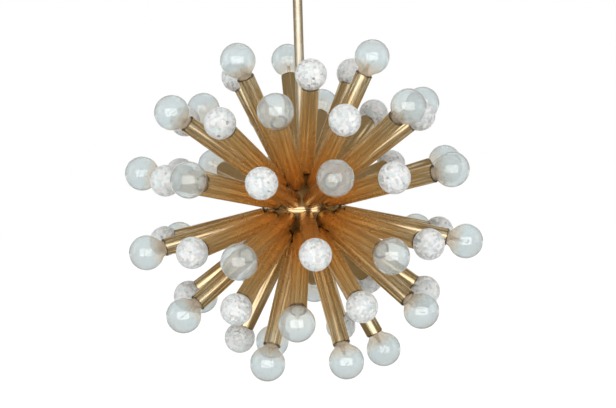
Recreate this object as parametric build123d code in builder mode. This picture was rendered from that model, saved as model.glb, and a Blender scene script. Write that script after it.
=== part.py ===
from build123d import *
from math import cos, radians, sin, sqrt
import os

# Sputnik chandelier: a brass ball of two half shells carries 64 radial tubes in six rings.
# Every tube ends in a clear round bulb or in a crackled glass ball, by turns along its ring.
# Millimetres, +Z up. The origin is the centre of the ceiling bracket, on the ceiling.
# Azimuths count from the front (-Y) towards +X.

os.makedirs("parts", exist_ok=True)

# ---- driving dimensions ---------------------------------------------------------------------
drop = 400.0                # ceiling to the centre of the ball
fit = 0.08                  # radial clearance of parts that turn or slide in each other
seat = 0.3                  # gap left where a part is seated on a curved one

ball_radius = 55.0
ball_wall = 4.0
lip_height = 4.0            # register lip of the lower half shell
lip_wall = 2.0

tube_radius = 11.25
tube_wall = 1.0
tube_root = 6.0             # closed end at the ball
lamp_tube_length = 137.0    # ball to the mouth of a lamp tube
crystal_step = 16.0         # how much shorter a crystal's tube is
spigot_radius = 5.0
spigot_reach = 4.0          # how far a spigot stands into the hollow ball

bulb_radius = 22.5
glass_wall = 1.0
bulb_stand = 24.0           # bulb centre beyond the mouth of its tube
neck_radius = 9.2           # glass at the mouth of the tube
cap_radius = 6.9            # small screw cap
cap_depth = 9.0             # mouth of the tube to the top of the cap
cap_length = 16.0
contact_length = 4.0
contact_radius = 3.0
holder_radius = 9.7
holder_length = 34.0
crystal_radius = 20.0

stem_radius = 6.25
stem_wall = 1.0
stem_end = 4.0              # ceiling to the upper end of the stem
rod_radius = 5.0
rod_bore = 3.5
rod_in_stem = 18.0
collar_radius = 11.0
collar_height = 12.0
collar_floor = 4.0
collar_chamfer = 1.5
finial_radius = 11.0
finial_height = 15.0
finial_band = 7.5           # straight band of the finial above its dome
finial_shoulder = 7.5       # the dome narrows to this, then to its button
finial_button = 3.0
finial_button_rise = 2.0
nut_flats = 14.0
nut_height = 5.0
plate_radius = 36.0
plate_thickness = 1.5
connector_width = 12.0
connector_depth = 8.0
connector_height = 9.0
connector_circle_radius = 24.0
connector_count = 6

bracket_length = 100.0
bracket_width = 24.0
bracket_sheet = 2.5
bracket_drop = 24.0         # ceiling to the upper face of the web
bracket_foot = 20.0
bracket_slope = 6.0         # how far each leg leans out
bracket_bend = 3.0
screw_spacing = 80.0
screw_hole = 2.6
swivel_radius = 13.0
swivel_hole = 8.0
swivel_lip = 0.6            # straight wall left under the spherical seat
swivel_top = 6.0            # flat of the swivel ball above its centre
swivel_bottom = 9.0
swivel_nut_height = 4.0
swivel_nut_flats = 19.0
terminal_length = 12.0
terminal_width = 16.0
terminal_height = 11.0
terminal_clearance = 2.75   # stem to the terminal block

canopy_radius = 60.0
canopy_height = 57.0
canopy_sheet = 1.0
canopy_gap = 3.0            # shadow gap under the ceiling
canopy_neck = 12.0          # flat at the foot of the canopy
canopy_belly_radius = 47.0  # a point half way up the bowl
canopy_belly_drop = 35.0    # rim of the canopy to that point
slip_radius = 11.0
slip_height = 12.0
thumb_radius = 2.0
thumb_head_radius = 5.0
thumb_head_length = 7.0
thumb_flutes = 16

# Pieces that repeat on every arm are cut with few flats, which keeps the model light.
shell_sides = 24
arm_sides = 8               # tubes, bulbs and crystals
small_sides = 6             # spigots, caps and their sockets
bulb_angles = (50, 90, 130, 165)    # round of a bulb, from its neck
crystal_angles = (70, 110, 155)     # round of a crystal, from its flat on the tube
outer_angles = (35, 52, 70, 90)     # rounds of the half shells, from their flats at the poles
inner_angles = (40, 65, 90)

ring_angles = {             # elevation of each ring, and azimuth of its first arm
    "ring_1": (62.5, 69.0),
    "ring_2": (36.5, 50.0),
    "ring_3": (13.0, 10.5),
    "ring_4": (-13.0, 29.5),
    "ring_5": (-36.5, 56.0),
    "ring_6": (-62.5, 29.0),
}
ring_orders = {             # its arms in order: L lamp, C crystal
    "ring_1": "LCLCLC",
    "ring_2": "LC" * 6,
    "ring_3": "LC" * 7,
    "ring_4": "LC" * 7,
    "ring_5": "LC" * 6,
    "ring_6": "LLCLCL",
}
service_ring = "ring_6"     # its first lamp is the bulb that is drawn out on its own

# ---- derived values -------------------------------------------------------------------------
tube_bore = tube_radius - tube_wall
lamp_tip = ball_radius + lamp_tube_length
crystal_tip = lamp_tip - crystal_step
spigot_hole = spigot_radius + fit
tube_start = sqrt(ball_radius**2 - spigot_hole**2) + seat
spigot_end = ball_radius - ball_wall - spigot_reach
ball_inner = ball_radius - ball_wall
cap_top = lamp_tip - cap_depth
cap_foot = cap_top - cap_length
contact_foot = cap_foot - contact_length
bulb_centre = lamp_tip + bulb_stand
crystal_seat = tube_bore + tube_wall / 2
crystal_centre = crystal_tip + seat + sqrt(crystal_radius**2 - crystal_seat**2)
socket_radius = cap_radius + fit
rod_hole = rod_radius + fit
rod_seat = sqrt(ball_radius**2 - collar_radius**2)
stem_bore = stem_radius - stem_wall
collar_base = -drop + rod_seat
stem_foot = collar_base + collar_floor
rod_top = stem_foot + rod_in_stem
finial_top = -drop - rod_seat
rod_bottom = finial_top - finial_band
nut_seat = sqrt(ball_inner**2 - collar_radius**2)
half_plate = plate_thickness / 2
swivel_seat = swivel_radius + fit
half_length = bracket_length / 2
foot_edge = half_length - bracket_foot
web_edge = foot_edge - bracket_slope
web_bottom = -bracket_drop - bracket_sheet
swivel_centre = web_bottom + swivel_lip + sqrt(swivel_seat**2 - swivel_hole**2)
canopy_top = -canopy_gap
canopy_foot = canopy_top - canopy_height
slip_top = canopy_foot - seat
slip_middle = slip_top - slip_height / 2
thumb_reach = slip_radius + seat - stem_radius - fit


def arm_plane(elevation, azimuth):
    """A plane at the centre of the ball whose normal runs out along one arm."""
    across = cos(radians(elevation))
    out = (
        across * sin(radians(azimuth)),
        -across * cos(radians(azimuth)),
        sin(radians(elevation)),
    )
    along_ring = (cos(radians(azimuth)), sin(radians(azimuth)), 0)
    return Plane(origin=(0, 0, -drop), x_dir=along_ring, z_dir=out)


def arm_places(ring, kind):
    """The places of one kind of arm, L or C, around a ring."""
    elevation, first = ring_angles[ring]
    order = ring_orders[ring]
    step = 360 / len(order)
    return [
        arm_plane(elevation, first + step * i).location
        for i, letter in enumerate(order)
        if letter == kind
    ]


def all_arm_places(half):
    """Every arm of the upper (+1) or lower (-1) half shell."""
    return [
        place
        for ring, (elevation, first) in ring_angles.items()
        if elevation * half > 0
        for kind in "LC"
        for place in arm_places(ring, kind)
    ]


def save(part, name):
    part.label = name
    export_step(part, f"parts/{name}.step")


# ---- one arm, built along +Z from the centre of the ball ------------------------------------
def turned(profile, sides):
    """Loft a stack of regular polygons given as (height, radius)."""
    with BuildPart() as piece:
        for height, radius in profile:
            with BuildSketch(Plane.XY.offset(height)):
                RegularPolygon(radius, sides)
        loft(ruled=True)
    return piece.part


def arm_tube(tip):
    """A tube that is closed at the ball, with the spigot that screws into the half shell."""
    with BuildPart() as tube:
        with BuildSketch(Plane.XY.offset(tube_start)):
            RegularPolygon(tube_radius, arm_sides)
        extrude(amount=tip - tube_start)
        with BuildSketch(Plane.XY.offset(tube_start + tube_root)):
            RegularPolygon(tube_bore, arm_sides)
        extrude(amount=tip - tube_start - tube_root, mode=Mode.SUBTRACT)
        with BuildSketch(Plane.XY.offset(spigot_end)):
            RegularPolygon(spigot_radius, small_sides)
        extrude(amount=tube_start - spigot_end)
    return tube.part


def round_profile(centre, radius, angles):
    """Points of a round (height, radius), by the angle from its foot."""
    return [
        (centre - radius * cos(radians(angle)), radius * sin(radians(angle)))
        for angle in angles
    ]


def bulb_form(inset):
    """Screw cap end, neck at the mouth of the tube, then the round of the bulb."""
    neck = [(cap_top, cap_radius - inset), (lamp_tip, neck_radius - inset)]
    return turned(neck + round_profile(bulb_centre, bulb_radius - inset, bulb_angles), arm_sides)


lamp_tube = arm_tube(lamp_tip)
crystal_tube = arm_tube(crystal_tip)

with BuildPart() as bulb_glass:
    add(bulb_form(0))
    add(bulb_form(glass_wall), mode=Mode.SUBTRACT)

bulb_cap = turned(
    [(contact_foot, contact_radius), (cap_foot, cap_radius), (cap_top, cap_radius)],
    small_sides,
)

crystal_round = round_profile(crystal_centre, crystal_radius, crystal_angles)
crystal = turned([(crystal_tip + seat, crystal_seat)] + crystal_round, arm_sides)

with BuildPart() as lampholder:
    with BuildSketch(Plane.XY.offset(cap_top - holder_length)):
        RegularPolygon(holder_radius, arm_sides)
    extrude(amount=holder_length - seat)
    with BuildSketch(Plane.XY.offset(contact_foot - seat)):
        RegularPolygon(socket_radius, small_sides)
    extrude(amount=cap_top - contact_foot + seat, mode=Mode.SUBTRACT)

# ---- the six rings of arms ------------------------------------------------------------------
lamp_pieces = {
    "lamp_tubes": lamp_tube,
    "lampholders": lampholder.part,
    "bulb_glasses": bulb_glass.part,
    "bulb_caps": bulb_cap,
}
crystal_pieces = {
    "crystal_tubes": crystal_tube,
    "crystals": crystal,
}
service_place = arm_places(service_ring, "L")[0]

for ring in ring_orders:
    for name, piece in lamp_pieces.items():
        places = arm_places(ring, "L")
        if ring == service_ring and name.startswith("bulb"):
            places = places[1:]
        with BuildPart() as ring_part:
            with Locations(*places):
                add(piece)
        save(ring_part.part, f"{ring}_{name}")
    for name, piece in crystal_pieces.items():
        with BuildPart() as ring_part:
            with Locations(*arm_places(ring, "C")):
                add(piece)
        save(ring_part.part, f"{ring}_{name}")

with BuildPart() as service_bulb_glass:
    with Locations(service_place):
        add(bulb_glass.part)
save(service_bulb_glass.part, "service_bulb_glass")

with BuildPart() as service_bulb_cap:
    with Locations(service_place):
        add(bulb_cap)
save(service_bulb_cap.part, "service_bulb_cap")


# ---- the ball: two half shells on a tie rod -------------------------------------------------
with BuildPart() as spigot_drill:
    with BuildSketch(Plane.XY.offset(spigot_end)):
        RegularPolygon(spigot_hole, small_sides)
    extrude(amount=tube_start - spigot_end)


def half_round(radius, angles, half):
    """The solid half of a ball with a flat at its pole, where the collar or the finial sits."""
    flat = (-drop + half * sqrt(radius**2 - collar_radius**2), collar_radius)
    from_foot = [90 + half * (90 - angle) for angle in angles]
    return turned([flat] + round_profile(-drop, radius, from_foot), shell_sides)


def half_shell(half):
    """The upper (+1) or lower (-1) half shell; the lower one carries the register lip."""
    with BuildPart() as shell:
        add(half_round(ball_radius, outer_angles, half))
        add(half_round(ball_inner, inner_angles, half), mode=Mode.SUBTRACT)
        with BuildSketch(Plane.XY.offset(-drop)):
            if half > 0:
                RegularPolygon(ball_inner + lip_wall + fit, shell_sides)
            else:
                RegularPolygon(ball_inner + lip_wall, shell_sides)
                RegularPolygon(ball_inner, shell_sides, mode=Mode.SUBTRACT)
        if half > 0:
            extrude(amount=lip_height + fit, mode=Mode.SUBTRACT)
        else:
            extrude(amount=lip_height)
        with Locations((0, 0, -drop)):
            Cylinder(rod_hole, 2 * ball_radius, mode=Mode.SUBTRACT)
        with Locations(*all_arm_places(half)):
            add(spigot_drill.part, mode=Mode.SUBTRACT)
    return shell.part


save(half_shell(1), "ball_upper_shell")
save(half_shell(-1), "ball_lower_shell")

with BuildPart() as tie_rod:
    with BuildSketch(Plane.XY.offset(rod_bottom)):
        Circle(rod_radius)
        Circle(rod_bore, mode=Mode.SUBTRACT)
    extrude(amount=rod_top - rod_bottom)
save(tie_rod.part, "tie_rod")

with BuildPart() as tie_nuts:
    # two nuts draw the half shells together, two clamp the junction plate
    nut_feet = (nut_seat - nut_height, half_plate, -half_plate - nut_height, -nut_seat)
    for foot in nut_feet:
        with BuildSketch(Plane.XY.offset(-drop + foot)):
            RegularPolygon(nut_flats / 2, 6, major_radius=False)
            RegularPolygon(rod_hole, shell_sides // 2, major_radius=False, mode=Mode.SUBTRACT)
        extrude(amount=nut_height)
save(tie_nuts.part, "tie_nuts")

with BuildPart() as junction_plate:
    with BuildSketch(Plane.XY.offset(-drop - half_plate)):
        RegularPolygon(plate_radius, shell_sides)
        RegularPolygon(rod_hole, shell_sides, major_radius=False, mode=Mode.SUBTRACT)
    extrude(amount=plate_thickness)
save(junction_plate.part, "junction_plate")

with BuildPart() as wire_connectors:
    with BuildSketch(Plane.XY.offset(-drop + half_plate)):
        with PolarLocations(connector_circle_radius, connector_count):
            Rectangle(connector_depth, connector_width)
    extrude(amount=connector_height)
save(wire_connectors.part, "wire_connectors")

finial_profile = [
    (finial_top, finial_radius),
    (rod_bottom, finial_radius),
    (finial_top - finial_height + finial_button_rise, finial_shoulder),
    (finial_top - finial_height, finial_button),
]
with BuildPart() as bottom_finial:
    add(turned(finial_profile, shell_sides))
    with BuildSketch(Plane.XY.offset(finial_top)):
        Circle(rod_hole)
    extrude(amount=-finial_band - seat, mode=Mode.SUBTRACT)
save(bottom_finial.part, "bottom_finial")

with BuildPart() as stem_collar:
    with BuildSketch(Plane.XY.offset(collar_base)):
        Circle(collar_radius)
        Circle(rod_hole, mode=Mode.SUBTRACT)
    extrude(amount=collar_height)
    with BuildSketch(Plane.XY.offset(stem_foot)):
        Circle(stem_radius + fit)
    extrude(amount=collar_height - collar_floor, mode=Mode.SUBTRACT)
    chamfer(stem_collar.edges().filter_by(GeomType.CIRCLE).sort_by(Axis.Z)[-1], collar_chamfer)
save(stem_collar.part, "stem_collar")

with BuildPart() as stem:
    with BuildSketch(Plane.XY.offset(stem_foot)):
        Circle(stem_radius)
        Circle(stem_bore, mode=Mode.SUBTRACT)
    extrude(amount=-stem_end - stem_foot)
save(stem.part, "stem")

# ---- the ceiling end ------------------------------------------------------------------------
with BuildPart() as ceiling_bracket:
    with BuildSketch(Plane.XZ):
        with BuildLine():
            FilletPolyline(
                (-half_length, 0),
                (-foot_edge, 0),
                (-web_edge, -bracket_drop),
                (web_edge, -bracket_drop),
                (foot_edge, 0),
                (half_length, 0),
                radius=bracket_bend,
            )
            offset(amount=bracket_sheet, side=Side.RIGHT)
        make_face()
    extrude(amount=bracket_width / 2, both=True)
    with GridLocations(screw_spacing, 0, 2, 1):
        Hole(screw_hole)
    with Locations((0, 0, web_bottom)):
        Cylinder(swivel_hole, 2 * bracket_sheet, mode=Mode.SUBTRACT)
    with Locations((0, 0, swivel_centre)):
        Sphere(swivel_seat, mode=Mode.SUBTRACT)
save(ceiling_bracket.part, "ceiling_bracket")

with BuildPart() as mains_terminal:
    with Locations((stem_radius + terminal_clearance, 0, web_bottom)):
        terminal_align = (Align.MIN, Align.CENTER, Align.MAX)
        Box(terminal_length, terminal_width, terminal_height, align=terminal_align)
save(mains_terminal.part, "mains_terminal")

with BuildPart() as swivel_ball:
    with Locations((0, 0, swivel_centre)):
        Sphere(swivel_radius)
    with BuildSketch(Plane.XY.offset(swivel_centre - swivel_bottom)):
        Circle(swivel_radius)
    extrude(amount=swivel_bottom + swivel_top, mode=Mode.INTERSECT)
    with Locations((0, 0, swivel_centre)):
        Cylinder(stem_radius + fit, 2 * swivel_radius, mode=Mode.SUBTRACT)
save(swivel_ball.part, "swivel_ball")

with BuildPart() as swivel_nut:
    with BuildSketch(Plane.XY.offset(swivel_centre + swivel_top + fit)):
        RegularPolygon(swivel_nut_flats / 2, 6, major_radius=False)
        Circle(stem_radius + fit, mode=Mode.SUBTRACT)
    extrude(amount=swivel_nut_height)
save(swivel_nut.part, "swivel_nut")

with BuildPart() as canopy:
    with BuildSketch(Plane.XZ):
        with BuildLine():
            Line((stem_radius + fit, canopy_foot), (canopy_neck, canopy_foot))
            ThreePointArc(
                (canopy_neck, canopy_foot),
                (canopy_belly_radius, canopy_top - canopy_belly_drop),
                (canopy_radius, canopy_top),
            )
            offset(amount=canopy_sheet, side=Side.LEFT)
        make_face()
    revolve(axis=Axis.Z)
save(canopy.part, "canopy")

with BuildPart() as slip_ring:
    with BuildSketch(Plane.XY.offset(slip_top - slip_height)):
        Circle(slip_radius)
        Circle(stem_radius + fit, mode=Mode.SUBTRACT)
    extrude(amount=slip_height)
    with BuildSketch(Plane.XZ):
        with Locations((0, slip_middle)):
            Circle(thumb_radius + fit)
    extrude(amount=slip_radius, mode=Mode.SUBTRACT)
save(slip_ring.part, "slip_ring")

with BuildPart() as thumb_screw:
    with BuildSketch(Plane.XZ.offset(stem_radius + fit)):
        with Locations((0, slip_middle)):
            Circle(thumb_radius)
    extrude(amount=thumb_reach)
    with BuildSketch(Plane.XZ.offset(slip_radius + seat)):
        with Locations((0, slip_middle)):
            RegularPolygon(thumb_head_radius, thumb_flutes)
    extrude(amount=thumb_head_length)
save(thumb_screw.part, "thumb_screw")
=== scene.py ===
import random
from math import atan2, cos, degrees, pi, radians, sin, sqrt

import bmesh
import bpy
from mathutils import Matrix, Vector


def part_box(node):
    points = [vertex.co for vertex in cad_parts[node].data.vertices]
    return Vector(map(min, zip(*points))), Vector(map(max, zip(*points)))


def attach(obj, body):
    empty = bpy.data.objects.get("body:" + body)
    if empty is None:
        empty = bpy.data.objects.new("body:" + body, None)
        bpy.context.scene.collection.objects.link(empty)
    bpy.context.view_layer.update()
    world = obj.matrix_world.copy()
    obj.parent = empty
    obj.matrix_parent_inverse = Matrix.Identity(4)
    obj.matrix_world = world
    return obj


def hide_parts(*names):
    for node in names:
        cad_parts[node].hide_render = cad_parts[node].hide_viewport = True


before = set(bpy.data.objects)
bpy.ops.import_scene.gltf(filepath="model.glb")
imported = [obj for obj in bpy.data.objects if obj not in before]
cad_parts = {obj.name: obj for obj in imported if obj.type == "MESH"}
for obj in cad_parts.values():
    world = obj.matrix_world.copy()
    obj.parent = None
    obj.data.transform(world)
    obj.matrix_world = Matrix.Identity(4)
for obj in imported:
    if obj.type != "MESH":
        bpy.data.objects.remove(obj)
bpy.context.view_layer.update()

# Sputnik chandelier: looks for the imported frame. Metres, +Z up, origin on the ceiling.
# Heights along an arm count from the centre of the ball.

MM = 0.001
DROP = 400 * MM  # from the ceiling to the centre of the ball
BALL = Vector((0, 0, -DROP))

BALL_RADIUS = 55 * MM
BALL_WALL = 4 * MM
TUBE_RADIUS = 11.25 * MM
TUBE_BORE = 10.25 * MM
TUBE_START = 55.07 * MM
ROOT_FLOOR = 61.07 * MM
SPIGOT_RADIUS = 5 * MM
SPIGOT_END = 47 * MM
LAMP_TIP = 192 * MM
CRYSTAL_TIP = 176 * MM
BULB_CENTRE = 216 * MM
BULB_RADIUS = 22.5 * MM
CRYSTAL_RADIUS = 20 * MM
CRYSTAL_CENTRE = 193.17 * MM
STEM_RADIUS = 6.25 * MM
COLLAR_RADIUS = 11 * MM
SLIP_TOP = -60.3 * MM
SLIP_HEIGHT = 12 * MM

# ring: elevation, azimuth of its first arm, and its arms in order (L lamp, C crystal)
RINGS = {
    "ring_1": (62.5, 69.0, "LCLCLC"),
    "ring_2": (36.5, 50.0, "LC" * 6),
    "ring_3": (13.0, 10.5, "LC" * 7),
    "ring_4": (-13.0, 29.5, "LC" * 7),
    "ring_5": (-36.5, 56.0, "LC" * 6),
    "ring_6": (-62.5, 29.0, "LLCLCL"),
}
SERVICE_RING = "ring_6"

chance = random.Random(11)


# ---- where the arms stand -------------------------------------------------------------------
def arm_place(elevation, azimuth):
    """Stands an arm built along +Z from the centre of the ball in its place."""
    lean = Matrix.Rotation(radians(90 - elevation), 4, "X")
    turn_round = Matrix.Rotation(radians(azimuth), 4, "Z")
    return Matrix.Translation(BALL) @ turn_round @ lean


def arm_places(ring, kind):
    """The places of a ring's lamps ("L") or crystals ("C"), in order."""
    elevation, first, order = RINGS[ring]
    step = 360 / len(order)
    return [
        arm_place(elevation, first + step * i)
        for i, letter in enumerate(order)
        if letter == kind
    ]


# ---- shaping --------------------------------------------------------------------------------
WELD = 1e-6


def turned(profile, steps, sharp=38):
    """Spins a profile of (radius, height) once round Z, and shades it smooth but for its edges."""
    shape = bmesh.new()
    points = [shape.verts.new((radius, 0, height)) for radius, height in profile]
    edges = [shape.edges.new(pair) for pair in zip(points, points[1:])]
    bmesh.ops.spin(
        shape, geom=points + edges, cent=(0, 0, 0), axis=(0, 0, 1),
        angle=2 * pi, steps=steps, use_merge=True,
    )
    finish_shape(shape, sharp)
    return shape


def finish_shape(shape, sharp):
    """Merges doubles, faces the skin outwards, and keeps edges sharper than sharp degrees."""
    bmesh.ops.remove_doubles(shape, verts=shape.verts[:], dist=WELD)
    bmesh.ops.recalc_face_normals(shape, faces=shape.faces[:])
    for face in shape.faces:
        face.smooth = True
    for edge in shape.edges:
        if len(edge.link_faces) == 2:
            edge.smooth = degrees(edge.calc_face_angle(0)) < sharp


def note_place(shape, shift=0.0):
    """Keeps each point's place (grain) and height (reach) on its own arm, for the finishes."""
    grain = shape.verts.layers.float_vector.new("grain")
    reach = shape.verts.layers.float.new("reach")
    for vert in shape.verts:
        vert[grain] = vert.co + Vector((shift, shift, shift))
        vert[reach] = vert.co.z


def mesh_of(shape, name):
    mesh = bpy.data.meshes.new(name)
    shape.to_mesh(mesh)
    shape.free()
    return mesh


def piece(name, mesh, body, material, slot, *nodes):
    """A dressed piece that rides on a body, in the place of the CAD nodes it replaces."""
    thing = bpy.data.objects.new(name, mesh)
    bpy.context.scene.collection.objects.link(thing)
    mesh.materials.append(material)
    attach(thing, body)
    if nodes:
        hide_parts(*nodes)
    return thing


def set_out(name, make, places):
    """One mesh with a piece made by make() at each place."""
    whole = bmesh.new()
    for place in places:
        shape = make()
        bmesh.ops.transform(shape, matrix=place, verts=shape.verts[:])
        single = mesh_of(shape, name)
        whole.from_mesh(single)
        bpy.data.meshes.remove(single)
    return mesh_of(whole, name)


def arc(centre, radius, start, end, count):
    """(radius, height) along a round, from one angle from its foot to another."""
    step = (end - start) / (count - 1)
    return [
        (radius * sin(radians(start + step * i)), centre - radius * cos(radians(start + step * i)))
        for i in range(count)
    ]


# ---- nodes ----------------------------------------------------------------------------------
def link(tree, output, target):
    tree.links.new(output, target)


def feed(tree, value, socket):
    """Gives a socket a plain value, or links another node's output to it."""
    if isinstance(value, bpy.types.NodeSocket):
        link(tree, value, socket)
    elif socket.type == "RGBA":
        socket.default_value = (*value, 1.0)
    else:
        socket.default_value = value


def effect(name, inputs, outputs):
    """An empty node group with named inputs (name, kind) and outputs (name, kind)."""
    group = bpy.data.node_groups.new(name, "ShaderNodeTree")
    for label, kind in inputs:
        group.interface.new_socket(name=label, in_out="INPUT", socket_type=kind)
    for label, kind in outputs:
        group.interface.new_socket(name=label, in_out="OUTPUT", socket_type=kind)
    start = group.nodes.new("NodeGroupInput").outputs
    end = group.nodes.new("NodeGroupOutput").inputs
    return group, start, end


def placed(tree, group, place, **values):
    """A node group placed in a material, with values of its own."""
    node = tree.nodes.new("ShaderNodeGroup")
    node.node_tree = group
    link(tree, place, node.inputs["Place"])
    for label, value in values.items():
        feed(tree, value, node.inputs[label])
    return node.outputs


def noise(tree, vector, scale, detail=3.0):
    node = tree.nodes.new("ShaderNodeTexNoise")
    node.inputs["Detail"].default_value = detail
    feed(tree, scale, node.inputs["Scale"])
    link(tree, vector, node.inputs["Vector"])
    return node.outputs["Fac"]


def between(tree, value, low, high, out_low=0.0, out_high=1.0):
    """Stretches low to high over out_low to out_high, and stays within them."""
    node = tree.nodes.new("ShaderNodeMapRange")
    node.inputs["From Min"].default_value = low
    node.inputs["From Max"].default_value = high
    feed(tree, out_low, node.inputs["To Min"])
    feed(tree, out_high, node.inputs["To Max"])
    link(tree, value, node.inputs["Value"])
    return node.outputs["Result"]


def maths(tree, operation, first, second=0.0):
    node = tree.nodes.new("ShaderNodeMath")
    node.operation = operation
    feed(tree, first, node.inputs[0])
    feed(tree, second, node.inputs[1])
    return node.outputs["Value"]


def vector_maths(tree, operation, first, second):
    node = tree.nodes.new("ShaderNodeVectorMath")
    node.operation = operation
    feed(tree, first, node.inputs[0])
    feed(tree, second, node.inputs[1])
    return node.outputs["Value" if operation == "DOT_PRODUCT" else "Vector"]


def blend_colours(tree, share, first, second):
    node = tree.nodes.new("ShaderNodeMix")
    node.data_type = "RGBA"
    feed(tree, share, node.inputs["Factor"])
    feed(tree, first, node.inputs[6])  # inputs 6 and 7 are the two colours
    feed(tree, second, node.inputs[7])
    return node.outputs[2]


def bump(tree, height, distance, strength=1.0):
    node = tree.nodes.new("ShaderNodeBump")
    feed(tree, strength, node.inputs["Strength"])
    feed(tree, distance, node.inputs["Distance"])
    link(tree, height, node.inputs["Height"])
    return node.outputs["Normal"]


def new_material(name):
    material = bpy.data.materials.new(name)
    material.use_nodes = True
    tree = material.node_tree
    return material, tree, tree.nodes["Principled BSDF"].inputs


def set_plain(surface, values):
    """Values that are the same all over a surface."""
    for label, value in values.items():
        surface[label].default_value = value


def object_place(tree):
    return tree.nodes.new("ShaderNodeTexCoord").outputs["Object"]


def own_attribute(tree, name, output):
    node = tree.nodes.new("ShaderNodeAttribute")
    node.attribute_name = name
    return node.outputs[output]


def own_grain(tree):
    """A point's place on its own arm, as note_place keeps it."""
    return own_attribute(tree, "grain", "Vector")


def own_reach(tree):
    """A point's height along its own arm, as note_place keeps it."""
    return own_attribute(tree, "reach", "Fac")


# ---- brass ----------------------------------------------------------------------------------
BRIGHT_BRASS = (0.95, 0.83, 0.60)
WARM_BRASS = (0.88, 0.69, 0.42)
# ROOT_BRASS: a tone of the patina on the ball and finial, and on the tubes painted shade, darker
# and redder towards the ball where the arms crowd together
ROOT_BRASS = (0.91, 0.66, 0.36)
SEAM_BRASS = (0.80, 0.64, 0.42)
# the ball's dark brass between the arms: painted shade and tarnish
SHADE_AND_TARNISH_BRASS = (0.20, 0.12, 0.05)
STEM_BRASS = (0.95, 0.91, 0.80)
STEM_WARM = (0.91, 0.85, 0.71)
# dark brass round a tube's mouth: painted shadow where the glass sits in it, and tarnish at the
# lip
MOUTH_SHADOW_AND_TARNISH = (0.10, 0.055, 0.02)

PATINA_GLOSS = (0.20, 0.24)
ROOT_SHADE_SPAN = (180 * MM, 90 * MM)  # down a tube, towards the ball
ROOT_ROUGHER = 0.06
# the span and share of that dark band round the mouth, painted shadow and tarnish
MOUTH_SHADOW_SPAN = (-1.6 * MM, -0.4 * MM)  # from the tip of a tube
MOUTH_SHADOW_SHARE = 0.85
SPUN_ROUGHER = 0.26  # stem, canopy, slip ring, collar and finial
# beyond this band from the seam the ball is painted dark: shade between the arms, and tarnish
SEAM_BAND = (1.8 * MM, 4.5 * MM)  # from the middle of the ball
SEAM_ROUGH = 0.12
TARNISH_ROUGHER = 0.28


def make_patina():
    """Old polished brass: cloudy tarnish, and marks where it has been handled."""
    group, start, end = effect(
        "patina",
        [
            ("Place", "NodeSocketVector"), ("Bright", "NodeSocketColor"),
            ("Warm", "NodeSocketColor"), ("Rougher", "NodeSocketFloat"),
        ],
        [("Colour", "NodeSocketColor"), ("Roughness", "NodeSocketFloat")],
    )
    clouds = noise(group, start["Place"], 30.0, 2.0)
    marks = noise(group, start["Place"], 90.0, 2.0)
    cloudy = between(group, clouds, 0.35, 0.70)
    link(group, blend_colours(group, cloudy, start["Bright"], start["Warm"]), end["Colour"])
    rough = between(group, marks, 0.35, 0.65, *PATINA_GLOSS)
    link(group, maths(group, "ADD", rough, start["Rougher"]), end["Roughness"])
    return group


def make_tube_shade_and_tarnish():
    """Paints shade into a tube's brass: darker and redder towards the ball, where the arms crowd
    together, and a dark band round its mouth, painted shadow where the glass sits in it, with
    tarnish at the lip.
    """
    group, start, end = effect(
        "tube_shade_and_tarnish",
        [
            ("Place", "NodeSocketVector"), ("Reach", "NodeSocketFloat"),
            ("Tip", "NodeSocketFloat"), ("Colour", "NodeSocketColor"),
            ("Roughness", "NodeSocketFloat"),
        ],
        [("Colour", "NodeSocketColor"), ("Roughness", "NodeSocketFloat")],
    )
    # painted shade: the brass darkens and reddens towards the ball, where the arms crowd together
    root = between(group, start["Reach"], *ROOT_SHADE_SPAN)
    colour = blend_colours(group, root, start["Colour"], ROOT_BRASS)
    rougher = maths(group, "MULTIPLY", root, ROOT_ROUGHER)
    link(group, maths(group, "ADD", start["Roughness"], rougher), end["Roughness"])
    # a ragged dark band round the mouth: painted shadow where the glass sits in it, and tarnish at
    # the lip
    edge_wobble = noise(group, start["Place"], 300.0)
    ragged = between(group, edge_wobble, 0.3, 0.7, -0.7 * MM, 0.9 * MM)
    from_tip = maths(group, "SUBTRACT", start["Reach"], start["Tip"])
    edge = maths(group, "ADD", from_tip, ragged)
    mouth_shadow = between(group, edge, *MOUTH_SHADOW_SPAN, 0.0, MOUTH_SHADOW_SHARE)
    link(group, blend_colours(group, mouth_shadow, colour, MOUTH_SHADOW_AND_TARNISH), end["Colour"])
    return group


patina = make_patina()
tube_shade_and_tarnish = make_tube_shade_and_tarnish()


def brass(name, bright, warm, place_of=object_place, finish=None, rougher=0.0):
    """Polished brass. finish(tree, place, aged) changes it further than its patina does, and on
    the tubes and the ball paints shade into its colour.
    """
    material, tree, surface = new_material(name)
    place = place_of(tree)
    aged = placed(tree, patina, place, Bright=bright, Warm=warm, Rougher=rougher)
    if finish:
        aged = finish(tree, place, aged)
    set_plain(surface, {"Metallic": 1.0})
    link(tree, aged["Colour"], surface["Base Color"])
    link(tree, aged["Roughness"], surface["Roughness"])
    return material


def tube_brass(name, tip):
    """The brass of a tube that ends at tip."""
    def finish(tree, place, aged):
        return placed(tree, tube_shade_and_tarnish, place, Reach=own_reach(tree), Tip=tip,
                      Colour=aged["Colour"], Roughness=aged["Roughness"])

    return brass(name, BRIGHT_BRASS, WARM_BRASS, own_grain, finish)


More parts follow.
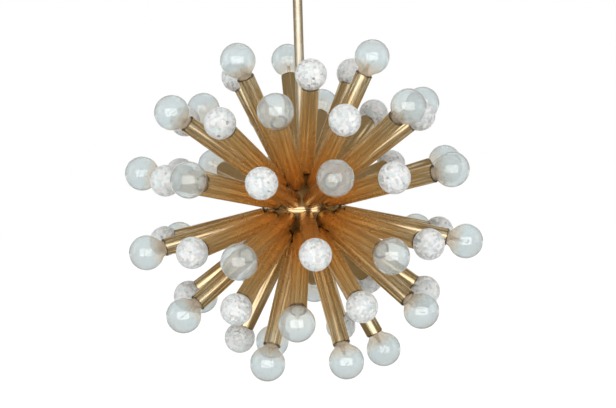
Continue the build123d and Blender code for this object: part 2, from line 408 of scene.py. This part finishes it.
def ball_finish(tree, place, aged):
    """Bright in patches along the seam of the ball, and darker between the arms: painted shade
    where the arms crowd round it, and tarnish.
    """
    split = tree.nodes.new("ShaderNodeSeparateXYZ")
    link(tree, place, split.inputs["Vector"])
    away = maths(tree, "ABSOLUTE", maths(tree, "ADD", split.outputs["Z"], DROP))
    patches = between(tree, noise(tree, place, 70.0, 2.0), 0.47, 0.53)
    # painted shade between the arms, with tarnish: darker away from the seam and in patches along
    # it
    tarnish = maths(tree, "MAXIMUM", between(tree, away, *SEAM_BAND), patches)
    rough = maths(tree, "ADD", maths(tree, "MULTIPLY", tarnish, TARNISH_ROUGHER), SEAM_ROUGH)
    colour = blend_colours(tree, tarnish, aged["Colour"], SHADE_AND_TARNISH_BRASS)
    return {"Colour": colour, "Roughness": rough}


# ---- glass ----------------------------------------------------------------------------------
# heights along an arm between which the glass of a bulb changes: a painted haze towards its far
# end, a painted reflection of the brass towards the tube, and frost at the neck
HAZE_HEIGHTS = (212 * MM, 236 * MM)
BRASS_REFLECTION_HEIGHTS = (192 * MM, 214 * MM)
GLASS_FROSTS = (186 * MM, 200 * MM)
BREATH = 4 * MM

# bulb glass: its own grey, a paler painted haze at its far end, and a warm painted reflection of
# the brass
BULB_GREY, BULB_HAZE, BULB_BRASS_REFLECTION = (0.86, 0.93, 0.95), (0.91, 0.965, 0.98), (1.0, 0.86, 0.70)
# the mount glass's peach colours are a painted reflection of the brass around it
MOUNT_PALE, MOUNT_WARM = (1.0, 0.87, 0.70), (0.97, 0.80, 0.62)
WHITE_FLAKE = (1.0, 1.0, 1.0)
SKIN_CELLS, SKIN_SLOPE = 300.0, 1.1
SKIN_ICE, SKIN_LAVENDER, SKIN_SPECK = (0.78, 0.93, 0.93), (0.92, 0.93, 1.0), (0.46, 0.46, 0.38)
HEART_CELLS, HEART_SLOPE = 380.0, 1.2
HEART_ICE, HEART_LAVENDER, HEART_DARK = (0.80, 0.91, 0.93), (0.88, 0.86, 0.97), (0.36, 0.34, 0.28)


def clear_glass():
    """Thin bulb glass, slightly milky and frosted towards the tube, with a painted warm reflection
    of the brass towards the tube and a painted haze towards its far end.
    """
    material, tree, surface = new_material("bulb_glass")
    place = own_grain(tree)
    breath = between(tree, noise(tree, place, 160.0, 4.0), 0.3, 0.7, -BREATH, BREATH)
    height = maths(tree, "ADD", own_reach(tree), breath)
    # painted haze: the glass is paler towards its far end, standing for light it reflects
    pale = between(tree, height, *HAZE_HEIGHTS)
    colour = blend_colours(tree, pale, BULB_GREY, BULB_HAZE)
    # painted reflection: the glass turns warm towards the tube, where the brass round the neck
    # shows in it
    warm = between(tree, height, *BRASS_REFLECTION_HEIGHTS, 0.75, 0.0)
    link(tree, blend_colours(tree, warm, colour, BULB_BRASS_REFLECTION), surface["Base Color"])
    polish = between(tree, noise(tree, place, 90.0), 0.35, 0.7, 0.01, 0.05)
    frost = between(tree, height, *GLASS_FROSTS, 0.25, 0.0)
    link(tree, maths(tree, "ADD", polish, frost), surface["Roughness"])
    set_plain(surface, {
        "Transmission Weight": 0.86, "IOR": 1.3,
        "Coat Weight": 1.0, "Coat IOR": 1.75, "Coat Roughness": 0.13,
        "Sheen Weight": 0.5, "Sheen Roughness": 0.2,
    })
    waves = noise(tree, place, 45.0, 2.0)
    link(tree, bump(tree, waves, 0.6 * MM, 0.35), surface["Normal"])
    return material


def mount_glass():
    """The pressed glass foot inside a bulb, its warm colour a painted reflection of the brass
    around it.
    """
    material, tree, surface = new_material("mount_glass")
    swirl = noise(tree, own_grain(tree), 240.0)
    colour = blend_colours(tree, between(tree, swirl, 0.35, 0.65), MOUNT_PALE, MOUNT_WARM)
    link(tree, colour, surface["Base Color"])
    link(tree, between(tree, swirl, 0.3, 0.7, 0.08, 0.3), surface["Roughness"])
    set_plain(surface, {"Transmission Weight": 0.25, "IOR": 1.5})
    return material


def make_broken_cells():
    """Cells like broken glass: random shares for each, and a normal that leans each its way."""
    group, start, end = effect(
        "broken_cells",
        [
            ("Place", "NodeSocketVector"), ("Scale", "NodeSocketFloat"),
            ("Slope", "NodeSocketFloat"),
        ],
        [
            ("Paleness", "NodeSocketFloat"), ("Tone", "NodeSocketFloat"),
            ("Fleck", "NodeSocketFloat"), ("Normal", "NodeSocketVector"),
        ],
    )
    cells = group.nodes.new("ShaderNodeTexVoronoi")
    link(group, start["Place"], cells.inputs["Vector"])
    link(group, start["Scale"], cells.inputs["Scale"])
    split = group.nodes.new("ShaderNodeSeparateColor")
    link(group, cells.outputs["Color"], split.inputs["Color"])
    for channel, share in (("Red", "Paleness"), ("Green", "Tone"), ("Blue", "Fleck")):
        link(group, split.outputs[channel], end[share])
    lean = vector_maths(group, "SUBTRACT", cells.outputs["Color"], (0.5, 0.5, 0.5))
    from_middle = vector_maths(group, "SUBTRACT", start["Place"], cells.outputs["Position"])
    height = vector_maths(group, "DOT_PRODUCT", from_middle, lean)
    link(group, bump(group, height, start["Slope"]), end["Normal"])
    return group


broken_cells = make_broken_cells()


def crackle_skin():
    """The clear skin of a crackled ball, broken into small facets."""
    material, tree, surface = new_material("crackle_skin")
    cells = placed(tree, broken_cells, own_grain(tree), Scale=SKIN_CELLS, Slope=SKIN_SLOPE)
    tint = blend_colours(tree, cells["Tone"], SKIN_ICE, SKIN_LAVENDER)
    pale = between(tree, cells["Paleness"], 0.22, 0.62)
    colour = blend_colours(tree, pale, tint, WHITE_FLAKE)
    speck = between(tree, cells["Fleck"], 0.975, 0.985, 0.0, 0.5)
    link(tree, blend_colours(tree, speck, colour, SKIN_SPECK), surface["Base Color"])
    link(tree, between(tree, cells["Tone"], 0.0, 1.0, 0.02, 0.2), surface["Roughness"])
    link(tree, cells["Normal"], surface["Normal"])
    set_plain(surface, {
        "Transmission Weight": 0.12, "IOR": 1.6, "Sheen Weight": 1.0, "Sheen Roughness": 0.2,
    })
    return material


def crackle_heart():
    """The broken inside of a crackled ball: white, ice grey and lavender flakes."""
    material, tree, surface = new_material("crackle_heart")
    cells = placed(tree, broken_cells, own_grain(tree), Scale=HEART_CELLS, Slope=HEART_SLOPE)
    tint = blend_colours(tree, cells["Tone"], HEART_ICE, HEART_LAVENDER)
    pale = between(tree, cells["Paleness"], 0.15, 0.45)
    colour = blend_colours(tree, pale, tint, WHITE_FLAKE)
    dark = between(tree, cells["Fleck"], 0.92, 0.95, 0.0, 0.55)
    link(tree, blend_colours(tree, dark, colour, HEART_DARK), surface["Base Color"])
    link(tree, between(tree, cells["Tone"], 0.0, 1.0, 0.05, 0.4), surface["Roughness"])
    link(tree, cells["Normal"], surface["Normal"])
    set_plain(surface, {"IOR": 1.8})
    return material


# ---- caps, holders and plated parts ---------------------------------------------------------
CEMENT_LINE = (181.8 * MM, 182.2 * MM)
CEMENT = (0.95, 0.80, 0.62)
CAP_BRIGHT, CAP_DULL = (0.80, 0.66, 0.38), (0.62, 0.48, 0.25)
GRAIN_DEPTH = 0.02 * MM
GRAINS_IN_CLOUD = 12
WORN_SHADE = 0.76


def bulb_cap_metal():
    """Thin rolled brass, closed at its top by the pale cement that holds the glass."""
    material, tree, surface = new_material("cap_metal")
    grain = noise(tree, object_place(tree), 300.0, 4.0)
    cement = between(tree, own_reach(tree), *CEMENT_LINE)
    metal = blend_colours(tree, between(tree, grain, 0.35, 0.7), CAP_BRIGHT, CAP_DULL)
    link(tree, blend_colours(tree, cement, metal, CEMENT), surface["Base Color"])
    link(tree, maths(tree, "SUBTRACT", 1.0, cement), surface["Metallic"])
    link(tree, between(tree, grain, 0.3, 0.7, 0.22, 0.38), surface["Roughness"])
    return material


def make_fine_grain():
    """Fine grain and uneven colour, as on a moulded or plated surface."""
    group, start, end = effect(
        "fine_grain",
        [
            ("Place", "NodeSocketVector"), ("Grain", "NodeSocketFloat"),
            ("Clouds", "NodeSocketFloat"), ("Colour", "NodeSocketColor"),
            ("Worn", "NodeSocketColor"), ("Smoothest", "NodeSocketFloat"),
            ("Roughest", "NodeSocketFloat"),
        ],
        [
            ("Colour", "NodeSocketColor"), ("Roughness", "NodeSocketFloat"),
            ("Normal", "NodeSocketVector"),
        ],
    )
    grain = noise(group, start["Place"], start["Grain"], 4.0)
    worn = between(group, noise(group, start["Place"], start["Clouds"]), 0.35, 0.7)
    link(group, blend_colours(group, worn, start["Colour"], start["Worn"]), end["Colour"])
    rough = between(group, grain, 0.3, 0.7, start["Smoothest"], start["Roughest"])
    link(group, rough, end["Roughness"])
    link(group, bump(group, grain, GRAIN_DEPTH), end["Normal"])
    return group


fine_grain = make_fine_grain()


def plain(name, colour, roughness, metallic=0.0, grain_scale=300.0):
    """A moulded or plated finish."""
    material, tree, surface = new_material(name)
    finish = placed(
        tree, fine_grain, object_place(tree), Grain=grain_scale,
        Clouds=grain_scale / GRAINS_IN_CLOUD, Colour=colour,
        Worn=tuple(channel * WORN_SHADE for channel in colour),
        Smoothest=roughness * 0.75, Roughest=roughness * 1.3,
    )
    set_plain(surface, {"Metallic": metallic})
    link(tree, finish["Colour"], surface["Base Color"])
    link(tree, finish["Roughness"], surface["Roughness"])
    link(tree, finish["Normal"], surface["Normal"])
    return material


lamp_brass = tube_brass("lamp_tube_brass", LAMP_TIP)
crystal_brass = tube_brass("crystal_tube_brass", CRYSTAL_TIP)
ball_brass = brass("ball_brass", SEAM_BRASS, ROOT_BRASS, finish=ball_finish)
finial_brass = brass("finial_brass", WARM_BRASS, ROOT_BRASS, rougher=SPUN_ROUGHER)
stem_brass = brass("stem_brass", STEM_BRASS, STEM_WARM, rougher=SPUN_ROUGHER)
glass = clear_glass()
foot_glass = mount_glass()
skin = crackle_skin()
heart = crackle_heart()
cap_metal = bulb_cap_metal()
wire_metal = plain("filament_metal", (0.50, 0.47, 0.44), 0.35, 1.0, 900.0)
holder_china = plain("holder_china", (0.80, 0.68, 0.52), 0.3)
zinc = plain("zinc_plate", (0.62, 0.63, 0.66), 0.32, 1.0, 420.0)
connector_plastic = plain("connector_plastic", (0.85, 0.85, 0.82), 0.3)
terminal_plastic = plain("terminal_plastic", (0.86, 0.86, 0.82), 0.45)


# ---- one arm, built along +Z from the centre of the ball ------------------------------------
TUBE_STEPS = 40
LIP = 0.3 * MM
BULB_STEPS = 40
BALL_STEPS = 48
GRAIN_SHIFT = 9  # each piece has its own stretch of grain


def lengths(profile):
    """A profile given in millimetres."""
    return [(radius * MM, height * MM) for radius, height in profile]


def own_shift():
    return chance.uniform(0, GRAIN_SHIFT)


def tube_shape(tip):
    """A tube with its spigot at the ball, a floor at its root and eased lips."""
    profile = [
        (0, SPIGOT_END),
        (SPIGOT_RADIUS - LIP, SPIGOT_END),
        (SPIGOT_RADIUS, SPIGOT_END + LIP),
        (SPIGOT_RADIUS, TUBE_START),
        (TUBE_RADIUS - LIP, TUBE_START),
        (TUBE_RADIUS, TUBE_START + LIP),
        (TUBE_RADIUS, TUBE_START + 40 * MM),
        (TUBE_RADIUS, TUBE_START + 80 * MM),
        (TUBE_RADIUS, tip - 3 * MM),
        (TUBE_RADIUS, tip - LIP),
        (TUBE_RADIUS - LIP, tip),
        (TUBE_BORE + LIP, tip),
        (TUBE_BORE, tip - LIP),
        (TUBE_BORE, ROOT_FLOOR),
        (0, ROOT_FLOOR),
    ]
    shape = turned(profile, TUBE_STEPS)
    note_place(shape, own_shift())
    return shape


def lamp_tube():
    return tube_shape(LAMP_TIP)


def crystal_tube():
    return tube_shape(CRYSTAL_TIP)


GLASS_WALL = 0.35 * MM
NECK = [(6.5, 183.3), (7.3, 186), (8.3, 189), (9.1, 191.6), (9.9, 193.6), (11.0, 195.5)]
NECK_ANGLE = 34
BULB_ARC_POINTS = 20
MOUNT = [
    (0, 183.4), (5.7, 183.4), (6.5, 186), (7.5, 189), (8.2, 191.2), (7.7, 192.6),
    (5.0, 193.8), (3.2, 196.5), (2.2, 203), (2.6, 205), (2.0, 206.2), (0, 206.6),
]


def bulb_glass():
    """A blown bulb with a wall, open at its neck."""
    neck = lengths(NECK)
    outer = neck + arc(BULB_CENTRE, BULB_RADIUS, NECK_ANGLE, 180, BULB_ARC_POINTS)
    inner = [(radius - GLASS_WALL, height) for radius, height in neck]
    inner += arc(BULB_CENTRE, BULB_RADIUS - GLASS_WALL, NECK_ANGLE, 180, BULB_ARC_POINTS)
    profile = outer + inner[::-1] + outer[:1]
    shape = turned(profile, BULB_STEPS, sharp=60)
    note_place(shape, own_shift())
    return shape


def bulb_mount():
    """The pinched glass foot inside a bulb, which carries the lead wires."""
    shape = turned(lengths(MOUNT), 16)
    note_place(shape, own_shift())
    return shape


LEAD_SPREAD = 7 * MM
LEAD_FOOT = 205 * MM
LEAD_TOP = 219 * MM
WIRE = 0.25 * MM
COIL = 0.7 * MM
COIL_TURNS = 9
COIL_STEPS = 10  # to a turn
LEAD_GAP = 1.2 * MM


def filament():
    """Two lead wires and the coil between them."""
    shape = bmesh.new()
    for side in (-1, 1):
        foot = Vector((side * LEAD_GAP, 0, LEAD_FOOT))
        top = Vector((side * LEAD_SPREAD, 0, LEAD_TOP))
        length = (top - foot).length
        lean = (top - foot).to_track_quat("Z", "Y").to_matrix().to_4x4()
        place = Matrix.Translation((foot + top) / 2) @ lean
        bmesh.ops.create_cone(
            shape, cap_ends=True, segments=6, radius1=WIRE, radius2=WIRE, depth=length,
            matrix=place,
        )
    quarter = Matrix.Rotation(pi / 2, 4, "X")
    start = Matrix.Translation((-LEAD_SPREAD, 0, LEAD_TOP + COIL)) @ quarter
    ring = bmesh.ops.create_circle(shape, segments=5, radius=WIRE * 0.8, matrix=start)["verts"]
    edges = list({edge for vert in ring for edge in vert.link_edges})
    steps = COIL_TURNS * COIL_STEPS
    bmesh.ops.spin(
        shape, geom=ring + edges, cent=(-LEAD_SPREAD, 0, LEAD_TOP), axis=(1, 0, 0),
        dvec=(2 * LEAD_SPREAD / steps, 0, 0), angle=2 * pi * COIL_TURNS, steps=steps,
    )
    finish_shape(shape, 60)
    spin_own = Matrix.Rotation(chance.uniform(0, pi), 4, "Z")
    bmesh.ops.transform(shape, matrix=spin_own, verts=shape.verts[:])
    return shape


CAP_RADIUS = 6.9
THREAD_DEPTH = 0.5
THREAD_PITCH = 2.8
THREAD_TOP, THREAD_FOOT = 180.0, 169


def bulb_cap():
    """A small screw cap with its rolled thread, its foot and its contact."""
    profile = [(0, 183), (CAP_RADIUS, 183), (CAP_RADIUS, 181)]
    height = THREAD_TOP
    while height > THREAD_FOOT:
        profile += [(CAP_RADIUS - THREAD_DEPTH, height), (CAP_RADIUS, height - THREAD_PITCH / 2)]
        height -= THREAD_PITCH
    profile += [(6.2, 167.2), (3.4, 164.4), (2.6, 163.6), (1.4, 163.1), (0, 163)]
    shape = turned(lengths(profile), 24, sharp=70)
    note_place(shape)
    return shape


HOLDER = [
    (0, 149), (8.4, 149), (9.0, 149.6), (9.0, 158), (9.6, 158.8), (9.6, 182.2), (9.2, 182.7),
    (7.2, 182.7), (7.0, 182.4), (7.0, 162.9), (0, 162.7),
]


def lampholder():
    """A china cup, stepped to sit in its tube, bored for the cap."""
    shape = turned(lengths(HOLDER), 28)
    note_place(shape)
    return shape


def crystal_skin():
    """The whole ball, down to where it sits in the mouth of its tube."""
    shape = turned(arc(CRYSTAL_CENTRE, CRYSTAL_RADIUS, 0, 180, 26), BALL_STEPS, sharp=80)
    note_place(shape, own_shift())
    return shape


HEART_SHARES = (0.66, 0.36)  # of the ball's radius
HEART_ROUGH = 1.5 * MM


def crystal_heart():
    """Two broken lumps, one in the other."""
    shape = bmesh.new()
    for share in HEART_SHARES:
        bmesh.ops.create_icosphere(shape, subdivisions=2, radius=CRYSTAL_RADIUS * share)
    for vert in shape.verts:
        vert.co += vert.co.normalized() * chance.uniform(-HEART_ROUGH, HEART_ROUGH)
    bmesh.ops.translate(shape, vec=(0, 0, CRYSTAL_CENTRE), verts=shape.verts[:])
    note_place(shape, own_shift())
    return shape


# ---- the six rings --------------------------------------------------------------------------
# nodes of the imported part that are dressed: name, maker, finish and material slot
lamp_pieces = [
    ("lamp_tubes", lamp_tube, lamp_brass, "brass_tube"),
    ("lampholders", lampholder, holder_china, "lampholder"),
    ("bulb_glasses", bulb_glass, glass, "clear_glass"),
    ("bulb_caps", bulb_cap, cap_metal, "bulb_cap"),
]
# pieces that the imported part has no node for
bulb_insides = [
    ("bulb_mounts", bulb_mount, foot_glass, "clear_glass"),
    ("filaments", filament, wire_metal, "bulb_cap"),
]
for ring in RINGS:
    lamps = arm_places(ring, "L")
    crystals = arm_places(ring, "C")
    bulbs = lamps[1:] if ring == SERVICE_RING else lamps
    for name, make, material, slot in lamp_pieces:
        places = bulbs if name.startswith("bulb") else lamps
        mesh = set_out(f"{ring}_{name}_turned", make, places)
        piece(f"{ring}_{name}_turned", mesh, "fixture", material, slot, f"{ring}_{name}")
    for name, make, material, slot in bulb_insides:
        mesh = set_out(f"{ring}_{name}", make, bulbs)
        piece(f"{ring}_{name}", mesh, "fixture", material, slot)
    name = f"{ring}_crystal_tubes"
    mesh = set_out(f"{name}_turned", crystal_tube, crystals)
    piece(f"{name}_turned", mesh, "fixture", crystal_brass, "brass_tube", name)
    mesh = set_out(f"{ring}_crystal_skins", crystal_skin, crystals)
    piece(f"{ring}_crystal_skins", mesh, "fixture", skin, "crackle_glass", f"{ring}_crystals")
    mesh = set_out(f"{ring}_crystal_hearts", crystal_heart, crystals)
    piece(f"{ring}_crystal_hearts", mesh, "fixture", heart, "crackle_glass")

service = arm_places(SERVICE_RING, "L")[:1]
for name, make, material, slot, node in (
    ("service_bulb_glass_blown", bulb_glass, glass, "clear_glass", "service_bulb_glass"),
    ("service_bulb_cap_rolled", bulb_cap, cap_metal, "bulb_cap", "service_bulb_cap"),
    ("service_bulb_mount", bulb_mount, foot_glass, "clear_glass", None),
    ("service_bulb_filament", filament, wire_metal, "bulb_cap", None),
):
    mesh = set_out(name, make, service)
    piece(name, mesh, "service_bulb", material, slot, *([node] if node else []))


# ---- the ball -------------------------------------------------------------------------------
def at_ball(shape):
    """Moves a shape built round the origin to the ball."""
    bmesh.ops.translate(shape, vec=BALL, verts=shape.verts[:])
    return shape


SEAM = 0.35 * MM
POLE_FLAT = sqrt(BALL_RADIUS**2 - COLLAR_RADIUS**2)  # height of the flats for collar and finial
POLE = degrees(atan2(COLLAR_RADIUS, POLE_FLAT))
ROD_HOLE = 5.1 * MM
TURNED_STEPS = 56


def half_ball(half):
    """A spun half shell: flat at its pole, eased edge at the seam."""
    outer = arc(0, BALL_RADIUS, POLE, 88.6, 22)
    outer += [(BALL_RADIUS - 0.1 * MM, -SEAM * 1.4), (BALL_RADIUS - 0.5 * MM, -SEAM * 0.4)]
    inner = arc(0, BALL_RADIUS - BALL_WALL, 89.6, POLE + 2, 18)
    pole_out = (ROD_HOLE, outer[0][1])
    pole_in = (ROD_HOLE, inner[-1][1])
    profile = [pole_out] + outer + inner + [pole_in, pole_out]
    shape = turned([(radius, -half * height) for radius, height in profile], 72)
    return at_ball(shape)


for half, node in ((1, "ball_upper_shell"), (-1, "ball_lower_shell")):
    mesh = mesh_of(half_ball(half), node + "_spun")
    piece(node + "_spun", mesh, "fixture", ball_brass, "brass_ball", node)

finial_profile = [
    (0, -7.8), (5.08, -7.8), (5.08, 0), (10.6, 0), (11, -0.4), (11, -6.9), (10.4, -7.3),
    (10.4, -7.9), (10.7, -8.3), (10.2, -10.2), (8.6, -12.2), (6.2, -13.8), (3.6, -14.7), (0, -15),
]
finial = turned([(r, z - POLE_FLAT) for r, z in lengths(finial_profile)], TURNED_STEPS)
piece("bottom_finial_turned", mesh_of(at_ball(finial), "bottom_finial_turned"), "fixture",
      finial_brass, "brass_ball", "bottom_finial")

collar_profile = [
    (5.1, 0), (10.7, 0), (11, 0.3), (11, 9.8), (10.8, 10.4), (9.6, 11.8), (9.2, 12),
    (6.33, 12), (6.33, 4), (5.1, 4), (5.1, 0),
]
collar = turned([(r, z + POLE_FLAT) for r, z in lengths(collar_profile)], TURNED_STEPS)
piece("stem_collar_turned", mesh_of(at_ball(collar), "stem_collar_turned"), "fixture",
      stem_brass, "brass_stem", "stem_collar")

stem_low, stem_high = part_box("stem")
STEM_BORE = STEM_RADIUS - 1 * MM
stem_profile = [
    (STEM_BORE, stem_low.z), (STEM_RADIUS, stem_low.z),
    (STEM_RADIUS, (stem_low.z + stem_high.z) / 2),
    (STEM_RADIUS, stem_high.z), (STEM_BORE, stem_high.z), (STEM_BORE, stem_low.z),
]
piece("stem_drawn", mesh_of(turned(stem_profile, 64), "stem_drawn"), "fixture",
      stem_brass, "brass_stem", "stem")

# ---- the ceiling end ------------------------------------------------------------------------
bowl = [
    (12, -60), (14, -59.6), (20, -57.9), (28, -54.3), (36, -49.1), (43, -42.6), (48.5, -35.8),
    (53, -28), (56.2, -20.5), (58.4, -13), (59.6, -6), (60, -3.2),
]
CANOPY_BORE = 6.4
SHEET_IN, SHEET_UP = 0.8, 0.55  # how far the inside of the sheet stands in from the outside
canopy_profile = [(CANOPY_BORE, -60)] + bowl + [(59.6, -3)]
canopy_profile += [(r - SHEET_IN, z + SHEET_UP) for r, z in bowl[::-1] if z < -5]
canopy_profile += [(CANOPY_BORE, -59), (CANOPY_BORE, -60)]
canopy = turned(lengths(canopy_profile), 80)
piece("canopy_spun", mesh_of(canopy, "canopy_spun"), "canopy", stem_brass, "brass_stem",
      "canopy")

slip_profile = [
    (6.34, 0), (10.6, 0), (11, -0.4), (11, -11.6), (10.6, -12), (6.34, -12), (6.34, 0),
]
slip = turned([(r, z + SLIP_TOP) for r, z in lengths(slip_profile)], TURNED_STEPS)
piece("slip_ring_turned", mesh_of(slip, "slip_ring_turned"), "slip_ring",
      stem_brass, "brass_stem", "slip_ring")

GROOVES = 5
FIRST_GROOVE, GROOVE_STEP = 12.4, 1.1
thumb_profile = [(0, 6.35), (1.9, 6.35), (1.9, 11.3), (4.6, 11.3), (5, 11.7)]
for groove in range(GROOVES):
    level = FIRST_GROOVE + groove * GROOVE_STEP
    thumb_profile += [(5, level), (4.75, level + 0.3), (4.75, level + 0.5), (5, level + 0.8)]
thumb_profile += [(4.6, 18.25), (0, 18.25)]
thumb = turned(lengths(thumb_profile), 32)
beside_ring = Matrix.Translation((0, 0, SLIP_TOP - SLIP_HEIGHT / 2))
forward = Matrix.Rotation(pi / 2, 4, "X")
bmesh.ops.transform(thumb, matrix=beside_ring @ forward, verts=thumb.verts[:])
piece("thumb_screw_grooved", mesh_of(thumb, "thumb_screw_grooved"), "thumb_screw",
      stem_brass, "brass_stem", "thumb_screw")

low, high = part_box("mains_terminal")
size = high - low
centre = (low + high) / 2
SCREW_RADIUS = 1.8 * MM
SCREW_DEPTH = 0.8 * MM
block = bmesh.new()
place = Matrix.Translation(centre) @ Matrix.Diagonal((*size, 1))
bmesh.ops.create_cube(block, size=1, matrix=place)
bmesh.ops.bevel(
    block, geom=block.edges[:], offset=0.8 * MM, segments=2, affect="EDGES",
    profile=0.5, material=-1,
)
for row in (-0.25, 0.25):
    for column in (-0.25, 0.25):
        middle = centre + Vector((size.x * column, size.y * row, 0))
        screw = Matrix.Translation((middle.x, middle.y, low.z + SCREW_DEPTH / 2))
        bmesh.ops.create_cone(
            block, cap_ends=True, segments=20, radius1=SCREW_RADIUS, radius2=SCREW_RADIUS,
            depth=SCREW_DEPTH, matrix=screw,
        )
finish_shape(block, 35)
piece("mains_terminal_moulded", mesh_of(block, "mains_terminal_moulded"), "bracket",
      terminal_plastic, "terminal_plastic", "mains_terminal")

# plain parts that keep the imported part's own mesh
kept_nodes = {
    "tie_rod": zinc, "tie_nuts": zinc, "junction_plate": zinc, "ceiling_bracket": zinc,
    "swivel_ball": zinc, "swivel_nut": zinc, "wire_connectors": connector_plastic,
}
for node, material in kept_nodes.items():
    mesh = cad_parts[node].data
    mesh.materials.clear()
    mesh.materials.append(material)

# ---- studio ---------------------------------------------------------------------------------
FLOOR = -4.2
FLOOR_RADIUS = 40
FLOOR_GREY = (0.86, 0.86, 0.86)
FLOOR_GLOW = 1.2
FLOOR_WHITENED = 0.75  # share of the glow where the backdrop is to be seen
BACKDROP_FROM = (5.7, 17.1)  # along +Y, where the floor turns into the backdrop in a mirror
BACKDROP_TO = (0.90, 0.97)  # how squarely a mirrored ray has to face it
WARM_FLOOR = (0.22, 0.17, 0.10)
WARM_ROOM = (0.20, 0.155, 0.095)
WHITE = (1.0, 1.0, 1.0)
ROOM_LIGHT, ROOM_STRENGTH = (1.0, 0.99, 0.97), 0.7


def mixed(tree, share, first, second):
    node = tree.nodes.new("ShaderNodeMixShader")
    link(tree, share, node.inputs["Fac"])
    link(tree, first, node.inputs[1])
    link(tree, second, node.inputs[2])
    return node.outputs["Shader"]


def paint_floor():
    """A pale matt floor, white to the camera but for the shadow of the lamp."""
    paint = bpy.data.materials.new("pale_floor")
    paint.use_nodes = True
    tree = paint.node_tree
    tree.nodes.clear()
    path = tree.nodes.new("ShaderNodeLightPath").outputs
    place = tree.nodes.new("ShaderNodeSeparateXYZ")
    link(tree, object_place(tree), place.inputs["Vector"])
    far = between(tree, place.outputs["Y"], *BACKDROP_FROM)
    in_metal = maths(tree, "MULTIPLY", path["Is Glossy Ray"], far)
    seen = maths(tree, "MAXIMUM", path["Is Camera Ray"], in_metal)
    seen = maths(tree, "MAXIMUM", seen, path["Is Transmission Ray"])
    matt = tree.nodes.new("ShaderNodeBsdfDiffuse")
    shade = blend_colours(tree, path["Is Glossy Ray"], FLOOR_GREY, WARM_FLOOR)
    link(tree, shade, matt.inputs["Color"])
    lit = tree.nodes.new("ShaderNodeEmission")
    lit.inputs["Strength"].default_value = FLOOR_GLOW
    share = maths(tree, "MULTIPLY", seen, FLOOR_WHITENED)
    output = tree.nodes.new("ShaderNodeOutputMaterial")
    both = mixed(tree, share, matt.outputs["BSDF"], lit.outputs["Emission"])
    link(tree, both, output.inputs["Surface"])
    return paint


def background(tree, colour, strength=1.0):
    node = tree.nodes.new("ShaderNodeBackground")
    feed(tree, colour, node.inputs["Color"])
    node.inputs["Strength"].default_value = strength
    return node.outputs["Background"]


def paint_world(world):
    """White to the camera and through glass, and a plain pale room to light the lamp.

    Metal mirrors the white backdrop behind the lamp, and a dim warm room everywhere else.
    """
    world.use_nodes = True
    tree = world.node_tree
    tree.nodes.clear()
    path = tree.nodes.new("ShaderNodeLightPath").outputs
    direction = tree.nodes.new("ShaderNodeSeparateXYZ")
    generated = tree.nodes.new("ShaderNodeTexCoord").outputs["Generated"]
    link(tree, generated, direction.inputs["Vector"])
    behind = between(tree, direction.outputs["Y"], *BACKDROP_TO)
    in_metal = background(tree, blend_colours(tree, behind, WARM_ROOM, WHITE))
    room = background(tree, ROOM_LIGHT, ROOM_STRENGTH)
    around = mixed(tree, path["Is Glossy Ray"], room, in_metal)
    straight = maths(tree, "MAXIMUM", path["Is Camera Ray"], path["Is Transmission Ray"])
    whole = mixed(tree, straight, around, background(tree, WHITE))
    output = tree.nodes.new("ShaderNodeOutputWorld")
    link(tree, whole, output.inputs["Surface"])


def softbox(name, azimuth, elevation, distance, width, height, power, colour=WHITE,
            in_mirrors=True):
    """A soft light that faces the ball, from azimuth degrees round it and elevation above it."""
    data = bpy.data.lights.new(name, "AREA")
    data.shape = "RECTANGLE"
    data.size = width
    data.size_y = height
    data.energy = power
    data.color = colour
    lamp = bpy.data.objects.new(name, data)
    bpy.context.scene.collection.objects.link(lamp)
    lamp.visible_glossy = in_mirrors
    turn, rise = radians(azimuth), radians(elevation)
    out = Vector((sin(turn) * cos(rise), -cos(turn) * cos(rise), sin(rise)))
    lamp.location = BALL + out * distance
    lamp.rotation_mode = "QUATERNION"
    lamp.rotation_quaternion = out.to_track_quat("Z", "Y")


floor_shape = bmesh.new()
bmesh.ops.create_circle(floor_shape, cap_ends=True, segments=64, radius=FLOOR_RADIUS)
bmesh.ops.translate(floor_shape, vec=(0, 0, FLOOR), verts=floor_shape.verts[:])
floor = bpy.data.objects.new("floor", mesh_of(floor_shape, "floor"))
bpy.context.scene.collection.objects.link(floor)
floor.data.materials.append(paint_floor())

bpy.context.scene.world = bpy.data.worlds.new("studio")
paint_world(bpy.context.scene.world)

softbox("window", -2, 6, 3.0, 5.0, 2.9, 66, (1.0, 0.99, 0.96))
softbox("side_left", -85, 20, 3.0, 1.0, 2.0, 8, in_mirrors=False)
softbox("side_right", 80, 10, 3.0, 1.0, 2.0, 8, in_mirrors=False)
softbox("back_high", 165, 55, 3.2, 1.6, 1.6, 12, in_mirrors=False)

# ---- camera ---------------------------------------------------------------------------------
VIEW_DISTANCE = 2.129
VIEW_ELEVATION = 4.6
VIEW_ROLL = -1.7
LENS = 95.1
SENSOR = 36
PHOTO_WIDTH = 616
BALL_LEFT = 4.4  # pixels, as is BALL_DOWN
BALL_DOWN = 2.2

camera_data = bpy.data.cameras.new("camera")
camera_data.lens = LENS
camera_data.sensor_width = SENSOR
camera_data.shift_x = BALL_LEFT / PHOTO_WIDTH
camera_data.shift_y = BALL_DOWN / PHOTO_WIDTH
camera_data.clip_start = 0.05
camera_data.clip_end = 100
camera = bpy.data.objects.new("camera", camera_data)
bpy.context.scene.collection.objects.link(camera)
tilt = radians(VIEW_ELEVATION)
back = Vector((0, -cos(tilt), sin(tilt)))
camera.location = BALL + back * VIEW_DISTANCE
camera.rotation_mode = "QUATERNION"
aim = back.to_track_quat("Z", "Y").to_matrix().to_4x4()
camera.rotation_quaternion = (aim @ Matrix.Rotation(radians(VIEW_ROLL), 4, "Z")).to_quaternion()
bpy.context.scene.camera = camera
bpy.context.scene.view_settings.view_transform = "Standard"
